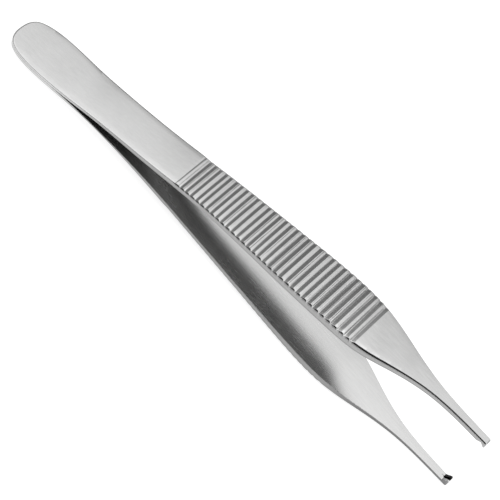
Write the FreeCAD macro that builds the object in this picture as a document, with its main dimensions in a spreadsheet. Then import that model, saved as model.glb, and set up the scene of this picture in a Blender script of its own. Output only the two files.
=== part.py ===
import FreeCAD, Part
import Sketcher
import math
import os

# Thumb forceps with one tooth on the upper arm and two on the lower.
# X runs from the butt to the tips, Y across the arms and Z is the way they open.
# Millimetres throughout.

document = FreeCAD.newDocument("thumb_forceps")
sheet = document.addObject("Spreadsheet::Sheet", "Sizes")

sizes = {
    # the pair as a whole
    "total_length": 120.0,
    "weld_length": 12.0,
    "camber": 2.16,
    # where the named stations lie, as shares of the length from the butt
    "share_heel": 0.075,
    "share_neck": 0.19167,
    "share_waist": 0.31667,
    "share_rise": 0.42917,
    "share_grip": 0.58333,
    "share_crest": 0.69167,
    "share_shoulder": 0.75833,
    "share_taper": 0.81667,
    "share_slim": 0.88333,
    "share_nose": 0.94167,
    # width of an arm at the stations
    "width_butt": 5.6,
    "width_heel": 10.9,
    "width_neck": 8.7,
    "width_waist": 8.8,
    "width_rise": 8.5,
    "width_grip": 10.5,
    "width_crest": 11.4,
    "width_shoulder": 10.6,
    "width_taper": 6.2,
    "width_slim": 2.1,
    "width_nose": 1.7,
    "width_tip": 1.6,
    # the corner that rounds the butt
    "share_corner": 0.0175,
    "width_corner": 9.2,
    # gap between the two inner faces at the stations
    "gap_neck": 1.7,
    "gap_waist": 3.6,
    "gap_rise": 9.2,
    "gap_grip": 12.2,
    "gap_crest": 14.8,
    "gap_shoulder": 15.5,
    "gap_taper": 17.75,
    "gap_slim": 18.8,
    "gap_nose": 19.0,
    "gap_tip": 18.9,
    # thickness of one arm at the stations
    "thick_butt": 0.83,
    "thick_neck": 0.75,
    "thick_waist": 1.1,
    "thick_rise": 1.3,
    "thick_grip": 1.6,
    "thick_crest": 2.3,
    "thick_shoulder": 1.95,
    "thick_taper": 1.2,
    "thick_slim": 0.95,
    "thick_nose": 0.92,
    "thick_tip": 1.0,
    # flutes across the grips: where the field starts and ends, how much the last pitch is larger
    # than the first, the part of a pitch that stays as a land, and how high a cutter stands proud
    "flute_count": 32,
    "share_flutes_start": 0.3772,
    "share_flutes_end": 0.75,
    "flute_growth": 1.26,
    "flute_land": 0.26,
    "flute_radius": 0.75,
    "flute_mouth": 0.06,
    # bevel along the long edges of the outer faces
    "edge_bevel": 0.22,
    # the single tooth, the cheeks cut beside it and the notch that takes it
    "tooth_height": 1.0,
    "tooth_base": 1.3,
    "tooth_flat": 0.3,
    "tooth_width": 0.5,
    "cheek_length": 2.0,
    "cheek_ramp": 0.8,
    "cheek_depth": 0.5,
    "notch_length": 2.2,
    "notch_depth": 0.4,
    "notch_flare": 0.15,
    "tooth_clearance": 0.05,
    # how far the sketched blank starts behind the butt, and how far cutters stand clear
    "spare": 1.0,
}
for row, (name, number) in enumerate(sizes.items(), start=1):
    sheet.set(f"A{row}", name)
    sheet.set(f"B{row}", str(number))
    sheet.setAlias(f"B{row}", name)
document.recompute()

inner_stations = ["neck", "waist", "rise", "grip", "crest", "shoulder", "taper", "slim", "nose", "tip"]
plan_stations = ["heel"] + inner_stations


def size(name):
    return float(sheet.get(name))


def place(station):
    return "Sizes.total_length" if station == "tip" else f"(Sizes.total_length * Sizes.share_{station})"


def middle(along):
    # Height of the cambered middle line at a distance from the butt.
    return f"4 * Sizes.camber * ({along}) / Sizes.total_length * (1 - ({along}) / Sizes.total_length)"


def inner(side, station):
    # Height of an arm's inner face: side is 1 for the upper arm and -1 for the lower.
    return f"{middle(place(station))} + {side} * Sizes.gap_{station} / 2"


def outer(side, station):
    return f"{inner(side, station)} + {side} * Sizes.thick_{station}"


def add_sketch(body, name, role, offset="0"):
    plane = next(item for item in body.Origin.OriginFeatures if item.Role == role)
    sketch = body.newObject("Sketcher::SketchObject", name)
    sketch.AttachmentSupport = [(plane, "")]
    sketch.MapMode = "FlatFace"
    if offset != "0":
        sketch.setExpression("AttachmentOffset.Base.z", offset)
    return sketch


def vector(sketch, point):
    return FreeCAD.Vector(float(sketch.evalExpression(point[0])), float(sketch.evalExpression(point[1])), 0)


def pin(sketch, geometry, corner, point):
    # Ties a corner of a sketch to two formulas of the sheet.
    at = vector(sketch, point)
    for kind, formula, distance in (("DistanceX", point[0], at.x), ("DistanceY", point[1], at.y)):
        index = sketch.addConstraint(Sketcher.Constraint(kind, -1, 1, geometry, corner, distance))
        sketch.setExpression(f"Constraints[{index}]", formula)


def add_spline(sketch, poles):
    curve = Part.BSplineCurve()
    curve.buildFromPoles([vector(sketch, pole) for pole in poles], False, 3)
    index = sketch.addGeometry(curve, False)
    sketch.exposeInternalGeometry(index)
    for step, pole in enumerate(poles, start=1):
        pin(sketch, index + step, 3, pole)
    return index


def add_lines(sketch, points, closed=True):
    # Straight lines from point to point, joined at their ends.
    ends = list(zip(points, points[1:] + points[:1])) if closed else list(zip(points, points[1:]))
    first = None
    for start, end in ends:
        line = Part.LineSegment(vector(sketch, start), vector(sketch, end))
        index = sketch.addGeometry(line, False)
        pin(sketch, index, 1, start)
        if first is None:
            first = index
        else:
            sketch.addConstraint(Sketcher.Constraint("Coincident", index - 1, 2, index, 1))
    if closed:
        sketch.addConstraint(Sketcher.Constraint("Coincident", index, 2, first, 1))
    else:
        pin(sketch, index, 2, points[-1])
    return first, index


def side_profile(body, side):
    # The bowed blank as seen from the side, with the tooth at its end.
    sketch = add_sketch(body, "SideProfile", "XZ_Plane")
    behind = "-Sizes.spare"
    seam_end = ("Sizes.weld_length", middle("Sizes.weld_length"))
    half_way = f"(Sizes.weld_length + {place('neck')}) / 2"
    tooth_root = ("Sizes.total_length - Sizes.tooth_base", inner(side, "tip"))
    tooth_point = ("Sizes.total_length - Sizes.tooth_flat", f"{inner(side, 'tip')} - {side} * Sizes.tooth_height")
    tooth_end = ("Sizes.total_length", tooth_point[1])
    inside = [seam_end, (half_way, middle(half_way))]
    inside += [(place(name), inner(side, name)) for name in inner_stations[:-1]] + [tooth_root]
    outside = [(place(name), outer(side, name)) for name in reversed(inner_stations)]
    for along in (half_way, place("heel"), behind):
        outside.append((along, f"{middle(along)} + {side} * Sizes.thick_butt"))
    add_spline(sketch, inside)
    add_spline(sketch, outside)
    add_lines(sketch, [tooth_root, tooth_point, tooth_end, outside[0]], closed=False)
    add_lines(sketch, [outside[-1], (behind, middle(behind)), seam_end], closed=False)
    return sketch


def plan_outline(body):
    # Everything outside the outline seen from above is cut off the blank.
    sketch = add_sketch(body, "PlanOutline", "XY_Plane")
    far = [("0", "0"), ("0", "Sizes.width_butt / 2"), (place("corner"), "Sizes.width_corner / 2")]
    far += [(place(name), f"Sizes.width_{name} / 2") for name in plan_stations]
    near = [(along, f"-({across})") for along, across in far]
    add_spline(sketch, far)
    add_spline(sketch, near)
    add_lines(sketch, [far[-1], near[-1]], closed=False)
    clear = "(Sizes.width_crest + Sizes.width_heel)"
    start, end = "-2 * Sizes.spare", "Sizes.total_length + Sizes.spare"
    add_lines(sketch, [(start, f"-{clear}"), (end, f"-{clear}"), (end, clear), (start, clear)])
    return sketch


def point_at(curve, along):
    # The point and the direction of a curve where it passes a distance from the butt.
    low, high = curve.FirstParameter, curve.LastParameter
    rising = curve.value(high).x > curve.value(low).x
    for halving in range(50):
        half = (low + high) / 2
        if (curve.value(half).x < along) == rising:
            low = half
        else:
            high = half
    direction = curve.tangent(half)[0]
    return curve.value(half), direction if direction.x > 0 else -direction


def flute_places():
    # Each flute's middle and pitch: the pitches grow evenly and together fill the field.
    count, growth = int(size("flute_count")), size("flute_growth")
    along = size("total_length") * size("share_flutes_start")
    field = size("total_length") * size("share_flutes_end") - along
    first = field / count * 2 / (1 + growth)
    for step in range(count):
        pitch = first * (1 + (growth - 1) * step / (count - 1))
        yield along + pitch / 2, pitch
        along += pitch


def outer_curve(profile):
    # The second spline of the side profile is the outer face.
    return [item for item in profile.Geometry if isinstance(item, Part.BSplineCurve)][1]


def flutes(body, side, curve):
    # Round-bottomed flutes that follow the bowed outer face, with a narrow land between them.
    sketch = add_sketch(body, "Flutes", "XZ_Plane")
    radius = size("flute_radius")
    for along, pitch in flute_places():
        surface, direction = point_at(curve, along)
        outward = FreeCAD.Vector(-direction.y, direction.x, 0) * side
        lift = math.sqrt(radius ** 2 - ((pitch - size("flute_land")) / 2) ** 2)
        centre = surface + outward * lift
        mouth = size("flute_mouth")
        reach = direction * math.sqrt(radius ** 2 - (lift - mouth) ** 2)
        left, right = surface + outward * mouth - reach, surface + outward * mouth + reach
        arc = sketch.addGeometry(Part.Arc(left, centre - outward * radius, right), False)
        lid = sketch.addGeometry(Part.LineSegment(left, right), False)
        sketch.addConstraint(Sketcher.Constraint("Block", arc))
        sketch.addConstraint(Sketcher.Constraint("Block", lid))
    return sketch


def add_pad(body, sketch, width):
    pad = body.newObject("PartDesign::Pad", "Blank")
    pad.Profile = sketch
    pad.Midplane = True
    pad.setExpression("Length", width)
    return pad


def add_cut(body, sketch, name):
    cut = body.newObject("PartDesign::Pocket", name)
    cut.Profile = sketch
    cut.Type = "Length"
    cut.Midplane = True
    cut.Refine = False
    cut.setExpression("Length", "Sizes.total_length")
    return cut


def bevel_edges(body, curve):
    # Bevels the two long edges of the outer face.
    chosen = []
    for index, edge in enumerate(body.Shape.Edges, start=1):
        point = edge.valueAt((edge.FirstParameter + edge.LastParameter) / 2)
        if edge.Length > size("total_length") / 2 and abs(point.z - point_at(curve, point.x)[0].y) < 0.01:
            chosen.append(f"Edge{index}")
    sharp = body.Tip
    bevel = body.newObject("PartDesign::Chamfer", "EdgeBevel")
    bevel.Base = (sharp, chosen)
    bevel.setExpression("Size", "Sizes.edge_bevel")
    document.recompute()
    if len(chosen) != 2 or not bevel.isValid():
        raise RuntimeError(f"the edges of {body.Label} have no bevel: {bevel.getStatusString()}")
    return bevel


def cut_cheeks(body, side):
    # A ramped cut on each side of the tip leaves the single tooth standing in the middle.
    face = inner(side, "tip")
    start = "Sizes.total_length - Sizes.cheek_length"
    clear = f"{face} - {side} * (Sizes.tooth_height + Sizes.spare)"
    floor = f"{face} + {side} * Sizes.cheek_depth"
    end = "Sizes.total_length + Sizes.spare"
    for name, hand in (("FarCheek", -1), ("NearCheek", 1)):
        sketch = add_sketch(body, f"{name}Profile", "XZ_Plane", f"{hand} * Sizes.tooth_width / 2")
        add_lines(sketch, [(start, clear), (start, face), (f"{start} + Sizes.cheek_ramp", floor), (end, floor),
                           (end, clear)])
        cheek = body.newObject("PartDesign::Pocket", name)
        cheek.Profile = sketch
        cheek.Type = "ThroughAll"
        cheek.Reversed = hand > 0
        before = body.Shape.Volume
        document.recompute()
        if not 0 < before - body.Shape.Volume < 5:
            raise RuntimeError(f"{name} of {body.Label} cuts nothing or too much")


def cut_notch(body, side):
    # A notch that deepens and widens towards the end parts the tip into two teeth.
    face = inner(side, "tip")
    clear = f"{face} - {side} * (Sizes.tooth_height + Sizes.spare)"
    half = "(Sizes.tooth_width / 2 + Sizes.tooth_clearance)"
    sections = []
    for name, along, floor, half_floor in (
            ("NotchRoot", "Sizes.total_length - Sizes.notch_length", face, f"{half} / 4"),
            ("NotchEnd", "Sizes.total_length", f"{face} + {side} * Sizes.notch_depth", half)):
        sketch = add_sketch(body, name, "YZ_Plane", along)
        half_mouth = f"({half_floor} + Sizes.notch_flare)"
        add_lines(sketch, [(f"-{half_floor}", floor), (half_floor, floor), (half_mouth, clear),
                           (f"-{half_mouth}", clear)])
        sections.append(sketch)
    notch = body.newObject("PartDesign::SubtractiveLoft", "Notch")
    notch.Profile = sections[1]
    notch.Sections = [sections[0]]
    notch.Ruled = True
    return notch


def make_arm(name, side, cut_teeth):
    body = document.addObject("PartDesign::Body", name)
    body.Label = name
    profile = side_profile(body, side)
    add_pad(body, profile, "Sizes.width_crest + Sizes.width_heel")
    add_cut(body, plan_outline(body), "Outline")
    document.recompute()
    curve = outer_curve(profile)
    bevel_edges(body, curve)
    add_cut(body, flutes(body, side, curve), "FluteCut")
    document.recompute()
    cut_teeth(body, side)
    document.recompute()
    return body, curve


def resting_line(curve, balance):
    # The lowest chord of the lower arm's outer face under the balance point: the arm rests on its two ends.
    count = 60
    first, last = size("edge_bevel"), size("total_length")
    samples = [point_at(curve, first + (last - first) * step / count)[0] for step in range(count + 1)]
    chords = []
    for left in samples:
        for right in samples:
            if left.x < balance < right.x:
                slope = (right.y - left.y) / (right.x - left.x)
                chords.append((left.y + slope * (balance - left.x), slope))
    return math.atan(min(chords)[1])


upper, upper_curve = make_arm("single_tooth_arm", 1, cut_cheeks)
lower, lower_curve = make_arm("twin_tooth_arm", -1, cut_notch)
arms = [upper, lower]

# The pair lies on the lower arm's outer face, with the origin under the middle of its length.
pair = Part.makeCompound([body.Shape for body in arms])
tilt = FreeCAD.Rotation(FreeCAD.Vector(0, 1, 0), math.degrees(resting_line(lower_curve, pair.CenterOfGravity.x)))
turned = pair.copy()
turned.Placement = FreeCAD.Placement(FreeCAD.Vector(), tilt)
bounds = turned.optimalBoundingBox(False, False)
shift = FreeCAD.Vector(-(bounds.XMin + bounds.XMax) / 2, 0, -bounds.ZMin)
for body in arms:
    body.Placement = FreeCAD.Placement(shift, tilt)
document.recompute()
print("tilt", round(math.degrees(tilt.Angle), 3), "shift", shift)

for item in document.Objects:
    if "Invalid" in item.State or "Error" in item.State:
        raise RuntimeError(f"{item.Label} did not build: {item.State}")
for body in arms:
    if body.Shape.isNull() or not body.Shape.isValid() or len(body.Shape.Solids) != 1:
        raise RuntimeError(f"{body.Label} is not one valid solid")
os.makedirs("parts", exist_ok=True)
for body in arms:
    body.Shape.exportStep(f"parts/{body.Label}.step")
    print(body.Label, round(body.Shape.Volume, 2), body.Shape.optimalBoundingBox(False, False))
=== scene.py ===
import bpy
import bmesh
import math
import random
import numpy as np
from mathutils import Vector, Matrix
from mathutils.kdtree import KDTree


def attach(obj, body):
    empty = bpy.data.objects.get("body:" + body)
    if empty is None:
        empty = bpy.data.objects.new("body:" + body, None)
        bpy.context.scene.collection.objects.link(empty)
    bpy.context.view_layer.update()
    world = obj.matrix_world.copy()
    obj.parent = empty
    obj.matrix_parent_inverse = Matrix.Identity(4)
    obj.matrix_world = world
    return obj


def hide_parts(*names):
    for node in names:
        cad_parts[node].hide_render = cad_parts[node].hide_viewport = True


# Toothed thumb forceps of satin steel, lying open on a pale surface.
# The arms are shaped in millimetres along their own line, X from the butt to the tips,
# Y across and Z the way they open, and then set down in the frame in metres.

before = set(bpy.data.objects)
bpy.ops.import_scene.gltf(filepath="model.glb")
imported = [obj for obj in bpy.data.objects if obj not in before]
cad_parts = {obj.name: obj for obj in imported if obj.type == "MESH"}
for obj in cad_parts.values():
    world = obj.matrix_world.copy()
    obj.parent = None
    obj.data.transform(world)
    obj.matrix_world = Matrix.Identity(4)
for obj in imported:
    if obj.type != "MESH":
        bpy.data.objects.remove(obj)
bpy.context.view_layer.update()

restPose = {
    "tilt": -4.713,
    "shift": (-60.2016, 0.0, 0.80397),
}

armShape = {
    "length": 120.0,
    "weld": 12.0,
    "camber": 2.16,
    "stations": (9.0, 23.0, 38.0, 51.5, 70.0, 83.0, 91.0, 98.0, 106.0, 113.0, 120.0),
    "widths": (10.9, 8.8, 9.0, 9.0, 10.95, 11.5, 11.0, 6.6, 2.25, 1.65, 1.55),
    "gaps": (0.0, 1.7, 3.6, 8.9, 11.9, 14.5, 15.2, 17.4, 18.6, 19.0, 18.9),
    "upperThicknesses": (0.83, 0.9, 1.3, 1.65, 1.95, 2.65, 2.3, 1.75, 1.45, 1.3, 1.35),
    "lowerThicknesses": (0.85, 0.12, 1.0, 1.2, 1.45, 2.15, 1.8, 1.2, 1.0, 0.92, 1.0),
    "buttCorners": ((0.0, 0.0), (0.0, 2.8), (2.1, 4.6)),
    "curveSteps": 80,
    "edgeRound": 0.04,
    "bevelPlaces": (44.1, 45.3, 88.0, 92.0, 104.0, 112.0, 120.0),
    "bevelWidths": (0.0, 0.2, 0.2, 0.26, 0.2, 0.2, 0.2),
    # bevelShade: how dark the bevel lines are painted along the arm, a painted shade in place of
    # their dark reflection.
    "bevelShade": (0.2, 0.2, 0.3, 1.0, 1.0, 0.5, 0.4),
    # rimShadePlaces: where the painted shade along the lower arm's side faces fades in, in place of
    # the shadow they reflect.
    "rimShadePlaces": (88.0, 98.0),
    "bevelSlope": 0.9,
    "bevelEdge": 0.01,
    "rollWidth": 0.7,
    "rollSlope": 0.62,
    "rollEnd": (94.0, 106.0, 0.25),
    "crown": 0.1,
    "innerCrown": 0.14,
    "crownAt": 5.0,
    "innerEase": 20.0,
    "innerRound": {1: 0.11, -1: 0.04},
    "endCorner": 0.34,
    "rings": (0.015, 0.05, 0.1, 0.15, 0.2, 0.24, 0.28, 0.31),
    "lanes": [0.65 * step for step in range(-8, 9)],
    "sharpAngle": 38,
}

# How the mesh is divided along the arm: numbers of rows, and the distances between the parts.
meshRows = {
    "from": 3.2,
    "butt": 70,
    "beforeFlutes": 0.3,
    "afterFlutes": 0.4,
    "neck": 60,
    "tipFrom": 117.6,
    "tip": 30,
    "buttArc": 36,
    "corner": 9,
    "end": 6,
    "closest": 0.012,
    "besideLine": 0.01,
    "besideTip": 0.1,
    "edgeSteps": 4,
    "cutWithin": 1e-5,
    "ringWithin": 1e-4,
}


def middle(along):
    length = armShape["length"]
    return 4 * armShape["camber"] * along / length * (1 - along / length)


def smoothLine(points):
    # A smooth line through Blender's own curve, read back as two columns.
    curve = bpy.data.curves.new("line", "CURVE")
    curve.dimensions = "3D"
    curve.resolution_u = armShape["curveSteps"]
    spline = curve.splines.new("NURBS")
    spline.points.add(len(points) - 1)
    for point, (first, second) in zip(spline.points, points):
        point.co = (first, second, 0, 1)
    spline.order_u = 4
    spline.use_endpoint_u = True
    holder = bpy.data.objects.new("line", curve)
    mesh = bpy.data.meshes.new_from_object(holder)
    table = np.array([vert.co[:2] for vert in mesh.vertices])
    bpy.data.meshes.remove(mesh)
    bpy.data.objects.remove(holder)
    bpy.data.curves.remove(curve)
    return table


def sideLines(side):
    # Heights of the inner and the outer face of one arm, along its length.
    length, weld = armShape["length"], armShape["weld"]
    stations, gaps = armShape["stations"], armShape["gaps"]
    thick = armShape["upperThicknesses" if side > 0 else "lowerThicknesses"]
    halfWay = (weld + stations[1]) / 2
    innerTip = middle(length) + side * gaps[-1] / 2
    inside = [(weld, middle(weld)), (halfWay, middle(halfWay))]
    inside += [(x, middle(x) + side * gap / 2) for x, gap in zip(stations[1:-1], gaps[1:-1])]
    inside += [(length - toothShape["base"], innerTip)]
    outside = [(x, middle(x) + side * thick[0]) for x in (-1.0, stations[0], halfWay)]
    outside += [(x, middle(x) + side * (gap / 2 + deep))
                for x, gap, deep in zip(stations[1:], gaps[1:], thick[1:])]
    innerLine = np.vstack([[(0.0, 0.0)], smoothLine(inside), [(length + 1, innerTip)]])
    return innerLine, smoothLine(outside)


def outlinePoints(stations):
    # The arm seen from above: once round, from the middle of the butt.
    length, corner, counts = armShape["length"], armShape["endCorner"], meshRows
    points = list(armShape["buttCorners"])
    points += [(x, wide / 2) for x, wide in zip(armShape["stations"], armShape["widths"])]
    half = smoothLine(points)
    buttArc = half[half[:, 0] < stations[0]]
    steps = np.concatenate([[0], np.cumsum(np.hypot(*np.diff(buttArc, axis=0).T))])
    even = np.linspace(0, steps[-1], counts["buttArc"])[:-1]
    butt = [(np.interp(at, steps, buttArc[:, 0]), np.interp(at, steps, buttArc[:, 1]))
            for at in even]
    along = [(x, np.interp(x, half[:, 0], half[:, 1])) for x in stations]
    tip = half[-1][1]
    turn = [(length - corner * (1 - math.sin(angle)), tip - corner * (1 - math.cos(angle)))
            for angle in np.linspace(0, math.pi / 2, counts["corner"])]
    across = [(length, y) for y in np.linspace(tip - corner, 0, counts["end"])[1:-1]]
    upper = butt + along + turn + across
    lower = [(x, -y) for x, y in reversed(upper[1:])]
    return upper + [(length, 0.0)] + lower


def stationList(flutes):
    # Distances along the arm of the rows of the mesh: close at the flutes and at the teeth.
    counts = meshRows
    across = [flute["middle"] + share * flute["half"]
              for flute in flutes for share in fluteShape["rows"]]
    at, half, _ = fluteShape["firstLine"]
    rim = half + counts["besideLine"]
    start = [at - rim, at - half / 2, at, at + half / 2, at + rim]
    cheeks = counts["tipFrom"]
    rows = [np.linspace(counts["from"], start[0] - counts["beforeFlutes"], counts["butt"]),
            start, across,
            np.linspace(across[-1] + counts["afterFlutes"], cheeks, counts["neck"], endpoint=False),
            np.linspace(cheeks, armShape["length"] - armShape["endCorner"], counts["tip"],
                        endpoint=False)]
    places = np.sort(np.concatenate(rows))
    return places[np.diff(places, prepend=-1.0) > counts["closest"]]


def cutAcross(sheet, faces, place, direction):
    # Cuts the given faces, and no others, along a plane.
    edges = dict.fromkeys(edge for face in faces for edge in face.edges)
    verts = dict.fromkeys(vert for face in faces for vert in face.verts)
    return bmesh.ops.bisect_plane(sheet, geom=[*faces, *edges, *verts], dist=meshRows["cutWithin"],
                                  plane_co=place, plane_no=direction)


def planSheet(side, flutes):
    # A flat sheet in the arm's outline, with rings along its edge and rows across it.
    stations = stationList(flutes)
    outline = outlinePoints(stations)
    sheet = bmesh.new()
    bmesh.ops.create_circle(sheet, cap_ends=True, radius=1, segments=len(outline))
    sheet.verts.ensure_lookup_table()
    for vert, (x, y) in zip(sheet.verts, outline):
        vert.co = (x, y, 0)
    inward = sheet.verts.layers.float.new("inward")
    core = sheet.faces[:][0]
    last = 0.0
    for ring in armShape["rings"]:
        bmesh.ops.inset_region(sheet, faces=[core], thickness=ring - last, use_even_offset=True,
                               use_boundary=True)
        for vert in core.verts:
            vert[inward] = ring
        last = ring
    for x in stations[1:]:
        cut = cutAcross(sheet, [core], (x, 0, 0), (1, 0, 0))
        parts = [item for item in cut["geom"] if isinstance(item, bmesh.types.BMFace)]
        core = max(parts, key=lambda face: face.calc_center_median().x)
    for y in armShape["lanes"]:
        strips = [face for face in sheet.faces
                  if min(vert[inward] for vert in face.verts) > last - meshRows["ringWithin"]]
        cutAcross(sheet, strips, (0, y, 0), (0, 1, 0))
    for line in wallLines(side):
        for hand in (-1, 1):
            tip = [face for face in sheet.faces
                   if face.calc_center_median().x > meshRows["tipFrom"] - meshRows["besideTip"]]
            first, second = (Vector((x, hand * y, 0)) for x, y in line)
            cutAcross(sheet, tip, first, (second - first).cross(Vector((0, 0, 1))))
    return sheet


toothShape = {
    "height": 1.0,
    "base": 1.3,
    "flat": 0.3,
    "halfWidth": 0.25,
    "cheekLength": 2.0,
    "cheekRamp": 0.8,
    "cheekDepth": 0.5,
    "notchLength": 2.2,
    "notchDepth": 0.4,
    "notchHalf": 0.3,
    "notchTop": 0.388,
    "wall": 0.006,
    # The notch's painted shade: how far back from the end it reaches, and its spare width.
    "notchShadeLength": 1.45,
    "notchShadeSpare": 0.01,
}


def wallLines(side):
    # Where the walls of the teeth stand, seen from above: the inner and the outer line of each.
    length, half = armShape["length"], toothShape["halfWidth"]
    if side > 0:
        start = length - toothShape["cheekLength"]
        return [((start, half), (length, half)),
                ((start, half + toothShape["wall"]), (length, half + toothShape["wall"]))]
    start, narrow = length - toothShape["notchLength"], toothShape["notchHalf"] / 4
    return [((start, narrow), (length, toothShape["notchHalf"])),
            ((start, narrow + toothShape["wall"]), (length, toothShape["notchTop"]))]


def toothHeight(x, y, side):
    # How far the inner face stands out towards the other arm.
    length, shape = armShape["length"], toothShape
    ramp = np.clip((x - length + shape["base"]) / (shape["base"] - shape["flat"]), 0, 1)
    tooth = ramp * shape["height"]
    (inner0, inner1), (outer0, outer1) = wallLines(side)
    inner = np.interp(x, [inner0[0], inner1[0]], [inner0[1], inner1[1]])
    outer = np.interp(x, [outer0[0], outer1[0]], [outer0[1], outer1[1]])
    if side > 0:
        within = tooth
        cheek = np.clip((x - length + shape["cheekLength"]) / shape["cheekRamp"], 0, 1)
        beyond = -cheek * shape["cheekDepth"]
    else:
        notch = np.clip((x - length + shape["notchLength"]) / shape["notchLength"], 0, 1)
        within = -notch * shape["notchDepth"]
        beyond = tooth
    share = np.clip((np.abs(y) - inner) / (outer - inner), 0, 1)
    near = x > length - max(shape["cheekLength"], shape["notchLength"])
    return np.where(near, within * (1 - share) + beyond * share, 0)


fluteShape = {
    "count": 32,
    "start": 45.264,
    "end": 90.0,
    "growth": 1.26,
    "land": 0.33,
    "deep": 0.5,
    "apex": -0.37,
    "bottom": 0.035,
    "lip": 0.012,
    "shift": 0.26,
    "wander": 0.07,
    "deepen": 0.28,
    "lineDeep": 0.06,
    # lineShadeStrength: how strongly the fine lines are painted dark, a painted shade of their
    # grooves.
    "lineShadeStrength": 0.6,
    "lineAt": -1.3,
    "lineHalf": 0.16,
    "lineSpread": 1.3,
    "lineReach": (-6, 4),
    "firstLine": (44.72, 0.11, 0.05),
    "skew": 0.004,
    "uneven": 0.09,
    "rows": (-1.46, -1.3, -1.14, -1.03, -0.97, -0.88, -0.68, -0.49, -0.37, -0.25, -0.05, 0.4,
             0.88, 0.97, 1.03, 1.12),
}


def fluteRows(seed):
    chance = random.Random(seed)
    count, growth = fluteShape["count"], fluteShape["growth"]
    first = (fluteShape["end"] - fluteShape["start"]) / count * 2 / (1 + growth)
    along, rows = fluteShape["start"], []
    for step in range(count):
        pitch = first * (1 + (growth - 1) * step / (count - 1))
        rows.append({
            "middle": along + pitch / 2 + fluteShape["shift"]
            + chance.uniform(-1, 1) * fluteShape["wander"],
            "half": (pitch - fluteShape["land"]) / 2,
            "skew": chance.uniform(-1, 1) * fluteShape["skew"],
            "deep": 1 + chance.uniform(-1, 1) * fluteShape["uneven"]
            + fluteShape["deepen"] * step / count,
            "line": chance.random() * fluteShape["lineDeep"],
            "reach": chance.uniform(*fluteShape["lineReach"]),
            "hand": chance.choice((-1, 1)),
        })
        along += pitch
    return rows


def softMax(first, second, width):
    return 0.5 * (first + second + np.sqrt((first - second) ** 2 + width ** 2))


def fluteDepth(x, y, flutes):
    # How deep the flutes cut at each point: steep on the butt's side, easier on the tips' side.
    depth = np.zeros_like(x)
    apex, lip = fluteShape["apex"], fluteShape["lip"]
    for flute in flutes:
        share = (x - flute["middle"] - flute["skew"] * y) / flute["half"]
        deep = fluteShape["deep"] * flute["half"] * flute["deep"]
        walls = -deep * softMax(-(1 + share) / (1 + apex), -(1 - share) / (1 - apex),
                                2 * fluteShape["bottom"])
        depth = np.maximum(depth, softMax(walls, 0, lip) - 0.5 * lip)
        line = 1 - np.abs(share - fluteShape["lineAt"]) / fluteShape["lineHalf"]
        depth = np.maximum(depth, line * flute["line"])
    at, half, deep = fluteShape["firstLine"]
    return np.maximum(depth, deep * (1 - np.abs(x - at) / half))


def lineShade(x, y, flutes):
    # How dark the fine lines on the ridges are; each runs over a part of the width.
    shade = np.zeros_like(x)
    wide = fluteShape["lineHalf"] * fluteShape["lineSpread"]
    for flute in flutes:
        share = (x - flute["middle"] - flute["skew"] * y) / flute["half"]
        near = np.abs(share - fluteShape["lineAt"]) < wide
        within = near & (y * flute["hand"] > flute["reach"])
        shade = np.where(within, np.maximum(shade, flute["line"] / fluteShape["lineDeep"]), shade)
    return shade


def edgeDrop(inward, radius):
    # How far a rounded edge falls away at a distance from the outline.
    reach = np.clip(radius - inward, 0, radius)
    return radius - np.sqrt(radius ** 2 - reach ** 2)


def outerDrop(x, y, inward, flutes, side):
    # What is taken off the outer face: its crown, the edges and the flutes, and on the upper
    # arm the roll towards its edges.
    shape = armShape
    crown = shape["crown"] * (y / shape["crownAt"]) ** 2
    start, stop, least = shape["rollEnd"]
    wide = shape["rollWidth"] * np.interp(x, (start, stop), (1, least / shape["rollWidth"]))
    roll = np.clip(1 - inward / wide, 0, None) ** 3 * shape["rollSlope"] * wide / 3
    bevel = np.clip(bevelWidth(x) - inward, 0, None) * shape["bevelSlope"]
    edge = np.maximum(edgeDrop(inward, shape["edgeRound"]), bevel)
    return crown + (roll if side > 0 else 0) + np.maximum(edge, fluteDepth(x, y, flutes))


def innerRise(x, y):
    # How far the middle of the inner face stands out past its edges.
    shape = armShape
    half = np.interp(x, shape["stations"], [wide / 2 for wide in shape["widths"]])
    crown = shape["innerCrown"] * (half ** 2 - y ** 2) / shape["crownAt"] ** 2
    return crown * np.clip((x - shape["weld"]) / shape["innerEase"], 0, 1)


def bevelWidth(x):
    return np.interp(x, armShape["bevelPlaces"], armShape["bevelWidths"])


def trueInward(x, y, ring, outline):
    # How far each point lies from the outline, past the rings too.
    edge = np.array(outline + outline[:1])
    steps = np.arange(0, len(edge) - 1, 1 / meshRows["edgeSteps"])
    dense = [np.interp(steps, range(len(edge)), column) for column in edge.T]
    tree = KDTree(len(steps))
    for index, (first, second) in enumerate(zip(*dense)):
        tree.insert((first, second, 0), index)
    tree.balance()
    within = armShape["rings"][-1] - meshRows["ringWithin"]
    return np.array([tree.find((first, second, 0))[2] if near > within else near
                     for first, second, near in zip(x, y, ring)])


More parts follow.
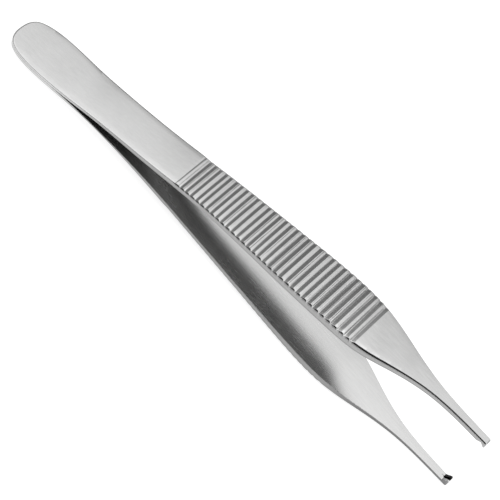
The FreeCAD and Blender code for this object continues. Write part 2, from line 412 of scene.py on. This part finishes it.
def vertexMarks(x, y, edge, isOuter, side, flutes):
    # Where the steel is painted darker or lighter, or has other roughness: painted shade on the
    # bevel edges, fine lines, lower flanks and notch, and a painted sheen on the inner face.
    shape = armShape
    flank = edge < shape["rings"][0] / 2
    bevel = isOuter & (edge < bevelWidth(x) + shape["bevelEdge"])
    # Painted shade: the bevels are painted dark where their reflection is dark; the same mark makes
    # them smoother.
    wear = np.interp(x, shape["bevelPlaces"], shape["bevelShade"]) * bevel
    # Painted shade along the lower arm's side faces, past the grip.
    rim = np.interp(x, shape["rimShadePlaces"], (0, 1)) * flank * (side < 0)
    # Painted shade in the fine lines on the ridges.
    lines = lineShade(x, y, flutes) * fluteShape["lineShadeStrength"] * isOuter
    # Painted shade in the lower arm's notch, where it lies in shadow.
    notch = (x > shape["length"] - toothShape["notchShadeLength"]) & (side < 0) \
        & (y > -toothShape["notchTop"] - toothShape["notchShadeSpare"])
    return {"wear": np.max([wear, rim, lines], axis=0), "inner": ~isOuter,
            "pit": notch & ~isOuter, "flank": flank}


def makeArm(name, node, side, seed, material):
    flutes = fluteRows(seed)
    sheet = planSheet(side, flutes)
    floats = sheet.verts.layers.float
    inward, outerFlag, lowerRim = floats["inward"], floats.new("outer"), floats.new("lowerRim")
    raised = bmesh.ops.extrude_face_region(sheet, geom=sheet.faces[:], use_keep_orig=True)
    for item in raised["geom"]:
        if isinstance(item, bmesh.types.BMVert):
            item[outerFlag] = 1.0
    verts = sheet.verts[:]
    x = np.array([vert.co.x for vert in verts])
    y = np.array([vert.co.y for vert in verts])
    outline = outlinePoints(stationList(flutes))
    edge = trueInward(x, y, [vert[inward] for vert in verts], outline)
    isOuter = np.array([vert[outerFlag] for vert in verts]) > 0.5
    innerLine, outerLine = sideLines(side)
    inner = np.interp(x, innerLine[:, 0], innerLine[:, 1])
    outer = np.interp(x, outerLine[:, 0], outerLine[:, 1])
    outer = outer - side * outerDrop(x, y, edge, flutes, side)
    rounding = edgeDrop(edge, armShape["innerRound"][side])
    inner = inner - side * (toothHeight(x, y, side) - rounding + innerRise(x, y))
    for vert, height, above in zip(verts, np.where(isOuter, outer, inner), isOuter):
        vert.co.z = height
        vert[lowerRim] = float(above == (side < 0))
    bmesh.ops.recalc_face_normals(sheet, faces=sheet.faces[:])
    turn = Matrix.Rotation(math.radians(restPose["tilt"]), 4, "Y")
    place = Matrix.Scale(0.001, 4) @ Matrix.Translation(restPose["shift"]) @ turn
    bmesh.ops.transform(sheet, matrix=place, verts=verts)
    marks = vertexMarks(x, y, edge, isOuter, side, flutes)
    layers = {mark: sheet.faces.layers.float.new(mark) for mark in marks}
    sheet.verts.index_update()
    for face in sheet.faces:
        face.smooth = True
        for mark, layer in layers.items():
            face[layer] = float(min(marks[mark][vert.index] for vert in face.verts))
    for line in sheet.edges:
        line.smooth = line.calc_face_angle(0) < math.radians(armShape["sharpAngle"])
    mesh = bpy.data.meshes.new(name)
    sheet.to_mesh(mesh)
    sheet.free()
    mesh.materials.append(material)
    arm = bpy.data.objects.new(name, mesh)
    bpy.context.scene.collection.objects.link(arm)
    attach(arm, "root")
    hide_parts(node)
    print(name, "has", len(mesh.polygons), "faces")


class Flow:
    # A shader socket that takes part in sums.
    def __init__(self, tree, socket):
        self.tree = tree
        self.socket = socket

    def sum(self, operation, other, swapped=False):
        pair = [other, self] if swapped else [self, other]
        node = makeNode(self.tree, "ShaderNodeMath", {"operation": operation},
                        dict(enumerate(pair)))
        return Flow(self.tree, node.outputs[0])

    def __add__(self, other):
        return self.sum("ADD", other)

    def __sub__(self, other):
        return self.sum("SUBTRACT", other)

    def __mul__(self, other):
        return self.sum("MULTIPLY", other)

    def __radd__(self, other):
        return self.sum("ADD", other, True)

    def __rsub__(self, other):
        return self.sum("SUBTRACT", other, True)

    def __rmul__(self, other):
        return self.sum("MULTIPLY", other, True)


def makeNode(tree, kind, settings=None, inputs=None):
    # One node: its settings first, then a value or a link for each socket that is named.
    node = tree.nodes.new(kind)
    for key, value in (settings or {}).items():
        if key == "stops":
            ramp = node.color_ramp
            while len(ramp.elements) < len(value):
                ramp.elements.new(0.5)
            for element, (position, colour) in zip(ramp.elements, value):
                element.position = position
                element.color = (*colour, 1)
        else:
            setattr(node, key, value)
    for key, value in (inputs or {}).items():
        if isinstance(value, Flow):
            tree.links.new(value.socket, node.inputs[key])
        else:
            node.inputs[key].default_value = value
    return node


def flowFrom(tree, node, output=0):
    return Flow(tree, node.outputs[output])


def smoothStep(tree, value, start, stop):
    # Runs from 0 at start to 1 at stop.
    ends = {"Value": value, "From Min": start, "From Max": stop}
    return flowFrom(tree, makeNode(tree, "ShaderNodeMapRange",
                                   {"interpolation_type": "SMOOTHSTEP"}, ends))


def blend(tree, share, first, second):
    # From the first colour at 0 to the second at 1.
    mix = makeNode(tree, "ShaderNodeMix", {"data_type": "RGBA"}, {0: share, 6: first, 7: second})
    return flowFrom(tree, mix, 2)


def markFlow(tree, name):
    return flowFrom(tree, makeNode(tree, "ShaderNodeAttribute", {"attribute_name": name}), "Fac")


steelFinish = {
    "pale": (0.745, 0.745, 0.74, 1),
    "deep": (0.53, 0.53, 0.53, 1),
    # The colour of the painted shade on the bevels, fine lines and lower flanks.
    "edge": (0.34, 0.34, 0.34, 1),
    # Near black, a painted shade for the notch.
    "pit": (0.05, 0.05, 0.05, 1),
    "cloudShare": 0.4,
    "cloudScale": 140.0,
    "grainStretch": (60, 900, 900),
    "grainScale": 3.0,
    "grainRelief": 0.12,
    "grainDepth": 0.00002,
    "rough": 0.24,
    "roughSpread": 0.07,
    "edgePolish": 0.1,
    "innerRough": 0.02,
    # The inner faces are painted lighter, a painted sheen for their brighter reflection.
    "innerPaintedSheen": 0.2,
    # Where the painted shade line along the lower edge of the side faces starts, and how dark it
    # is.
    "rimFrom": 0.7,
    "rimDark": 0.75,
}


def satinSteel():
    # Satin steel: fine grain along the arms, cloudy tone, painted shade on the edges, fine lines,
    # lower flanks and notch, and a painted sheen on the inner faces.
    finish = steelFinish
    material = bpy.data.materials.new("satinSteel")
    material.use_nodes = True
    tree = material.node_tree
    tree.nodes.clear()
    place = flowFrom(tree, makeNode(tree, "ShaderNodeTexCoord"), "Object")
    drawn = flowFrom(tree, makeNode(tree, "ShaderNodeMapping", {},
                                    {"Vector": place, "Scale": finish["grainStretch"]}))
    grain = flowFrom(tree, makeNode(tree, "ShaderNodeTexNoise", {}, {
        "Vector": drawn, "Scale": finish["grainScale"], "Detail": 4.0, "Roughness": 0.6}))
    cloud = flowFrom(tree, makeNode(tree, "ShaderNodeTexNoise", {}, {
        "Vector": place, "Scale": finish["cloudScale"], "Detail": 3.0, "Roughness": 0.55}))
    wear, inner, pit, flank, lower = (markFlow(tree, name)
                                      for name in ("wear", "inner", "pit", "flank", "lowerRim"))
    # The tone is cloud and grain at random, with a painted sheen lifting the inner faces.
    tone = blend(tree, cloud * finish["cloudShare"] + grain * (1 - finish["cloudShare"])
                 + inner * finish["innerPaintedSheen"], finish["deep"], finish["pale"])
    # Painted shade: a dark line along the lower edge of the side faces.
    rimLine = flank * smoothStep(tree, lower, finish["rimFrom"], 1.0) * finish["rimDark"]
    # Painted shade: bevels, fine lines and lower flank lines take the dark edge colour; this mask
    # also lowers the roughness.
    toneWithPaintedShade = blend(tree, wear.sum("MAXIMUM", rimLine), tone, finish["edge"])
    rough = finish["rough"] + (cloud + grain - 1) * finish["roughSpread"] \
        - wear * finish["edgePolish"] + inner * finish["innerRough"]
    bump = makeNode(tree, "ShaderNodeBump", {}, {
        "Strength": finish["grainRelief"], "Distance": finish["grainDepth"], "Height": grain})
    skin = makeNode(tree, "ShaderNodeBsdfPrincipled", {}, {
        "Base Color": blend(tree, pit, toneWithPaintedShade, finish["pit"]), "Metallic": 1.0, "Roughness": rough,
        "Normal": flowFrom(tree, bump)})
    makeNode(tree, "ShaderNodeOutputMaterial", {}, {"Surface": flowFrom(tree, skin)})
    return material


print("stage 1: steel and arms")
steel = satinSteel()
makeArm("upperArm", "single_tooth_arm", side=1, seed=11, material=steel)
makeArm("lowerArm", "twin_tooth_arm", side=-1, seed=23, material=steel)

studio = {
    "floor": (0.45, 0.45, 0.45, 1),
    "floorDrop": 0.00002,
    # The floor's colour in deeper reflections: a painted shade for the dark between the arms.
    "paintedDeepShade": (0.03, 0.03, 0.03, 1),
    "firstDepth": 1.5,
    "deepRoom": 0.4,
    "floorHalf": 1.2,
    "cameraLift": 0.8,
    "glossyShare": 0.42,
    "leanAlong": 0.6,
    "alongMost": 0.15,
    "leanAcross": 0.375,
    "leanNear": 0.075,
    "ramp": ((-0.18, 0.19), (-0.02, 0.3), (0.12, 0.95), (0.2, 1.12), (0.33, 1.0), (0.44, 0.86),
             (0.56, 0.79), (0.61, 0.84), (0.66, 1.0), (0.7, 1.07), (0.78, 1.11), (0.9, 1.08),
             (0.98, 0.68)),
    "overhead": ((-0.95, 0.15), (-0.7, 0.2), (-0.5, 0.7), (-0.3, 1.5), (-0.16, 1.55), (0.0, 1.1),
                 (0.16, 1.55), (0.24, 1.5), (0.38, 1.2), (0.5, 1.02), (0.58, 0.93), (0.72, 0.8),
                 (0.85, 0.55), (1.0, 0.4)),
    # A glow on the floor on the butt's side, seen only in the metal's first reflections: painted
    # light.
    "paintedGlow": 0.45,
    "paintedGlowFrom": -0.034,
    "paintedGlowTo": -0.05,
}


def paleFloor():
    # A plain floor: white for the camera, pale in the metal's first reflections, with the object's
    # shadow, and dark in the deeper reflections, a painted shade between the arms. In first
    # reflections the floor on the butt's side also glows, a painted light.
    sheet = bmesh.new()
    bmesh.ops.create_grid(sheet, x_segments=2, y_segments=2, size=studio["floorHalf"])
    bmesh.ops.translate(sheet, verts=sheet.verts[:], vec=(0, 0, -studio["floorDrop"]))
    mesh = bpy.data.meshes.new("floor")
    sheet.to_mesh(mesh)
    sheet.free()
    floor = bpy.data.objects.new("floor", mesh)
    bpy.context.scene.collection.objects.link(floor)
    material = bpy.data.materials.new("paleFloor")
    material.use_nodes = True
    tree = material.node_tree
    tree.nodes.clear()
    rays = makeNode(tree, "ShaderNodeLightPath")
    first = flowFrom(tree, rays, "Glossy Depth").sum("LESS_THAN", studio["firstDepth"])
    mirrored = flowFrom(tree, rays, "Is Glossy Ray") * first
    direct = flowFrom(tree, rays, "Is Camera Ray")
    spot = makeNode(tree, "ShaderNodeSeparateXYZ", {},
                    {0: flowFrom(tree, makeNode(tree, "ShaderNodeTexCoord"), "Object")})
    # Painted light: the floor on the butt's side glows in first reflections.
    paintedGlowShare = smoothStep(tree, flowFrom(tree, spot), studio["paintedGlowFrom"], studio["paintedGlowTo"])
    # Painted shade: deeper reflections see the dark floor colour.
    colour = blend(tree, direct + mirrored, studio["paintedDeepShade"], studio["floor"])
    skin = makeNode(tree, "ShaderNodeBsdfDiffuse", {}, {"Color": colour})
    glow = (direct + mirrored * studio["glossyShare"]) * studio["cameraLift"] \
        + mirrored * paintedGlowShare * studio["paintedGlow"]
    lift = makeNode(tree, "ShaderNodeEmission", {}, {"Color": (1, 1, 1, 1), "Strength": glow})
    both = makeNode(tree, "ShaderNodeAddShader", {},
                    {0: flowFrom(tree, skin), 1: flowFrom(tree, lift)})
    makeNode(tree, "ShaderNodeOutputMaterial", {}, {"Surface": flowFrom(tree, both)})
    mesh.materials.append(material)


def levelCurve(tree, value, levels):
    # Brightness as straight lines through (value, level) pairs.
    lowest, highest = levels[0][0], levels[-1][0]
    brightest = max(level for _, level in levels)
    span = highest - lowest
    stops = [((at - lowest) / span, [level / brightest] * 3) for at, level in levels]
    ramp = makeNode(tree, "ShaderNodeValToRGB", {"stops": stops},
                    {0: (value - lowest) * (1 / span)})
    return flowFrom(tree, ramp) * brightest


def softRoom():
    # A pale room, brightest a little off overhead and dark towards the horizon behind the butt.
    # The camera sees plain white instead.
    world = bpy.data.worlds.new("softRoom")
    bpy.context.scene.world = world
    world.use_nodes = True
    tree = world.node_tree
    tree.nodes.clear()
    rays = makeNode(tree, "ShaderNodeLightPath")
    seen = flowFrom(tree, rays, "Is Camera Ray")
    way = makeNode(tree, "ShaderNodeTexCoord")
    parts = makeNode(tree, "ShaderNodeSeparateXYZ", {}, {0: flowFrom(tree, way, "Generated")})
    along, across, up = (flowFrom(tree, parts, axis) for axis in "XYZ")
    lean = up + along.sum("MINIMUM", studio["alongMost"]) * studio["leanAlong"] \
        + across * studio["leanNear"] - across.sum("ABSOLUTE", 0.0) * studio["leanAcross"]
    deeper = flowFrom(tree, rays, "Glossy Depth").sum("GREATER_THAN", studio["firstDepth"])
    light = levelCurve(tree, lean, studio["ramp"]) * levelCurve(tree, across, studio["overhead"]) \
        * (1 - deeper * (1 - studio["deepRoom"]))
    soft = makeNode(tree, "ShaderNodeBackground", {}, {"Color": (1, 1, 1, 1), "Strength": light})
    plain = makeNode(tree, "ShaderNodeBackground", {}, {"Color": (1, 1, 1, 1), "Strength": 1.0})
    both = makeNode(tree, "ShaderNodeMixShader", {},
                    {0: seen, 1: flowFrom(tree, soft), 2: flowFrom(tree, plain)})
    makeNode(tree, "ShaderNodeOutputWorld", {}, {"Surface": flowFrom(tree, both)})


print("stage 2: floor, room and camera")
paleFloor()
softRoom()

cameraView = {
    "place": (0.028555, -0.194083, 0.332806),
    "turn": (24.685, -19.33, 43.4765),
    "lens": 144.147,
    "sensor": 36.0,
    "nearest": 0.01,
}

cameraData = bpy.data.cameras.new("camera")
cameraData.lens = cameraView["lens"]
cameraData.sensor_width = cameraView["sensor"]
cameraData.clip_start = cameraView["nearest"]
camera = bpy.data.objects.new("camera", cameraData)
camera.location = cameraView["place"]
camera.rotation_euler = [math.radians(angle) for angle in cameraView["turn"]]
bpy.context.scene.collection.objects.link(camera)
bpy.context.scene.camera = camera
bpy.context.scene.view_settings.view_transform = "Standard"

print("stage 3: done")
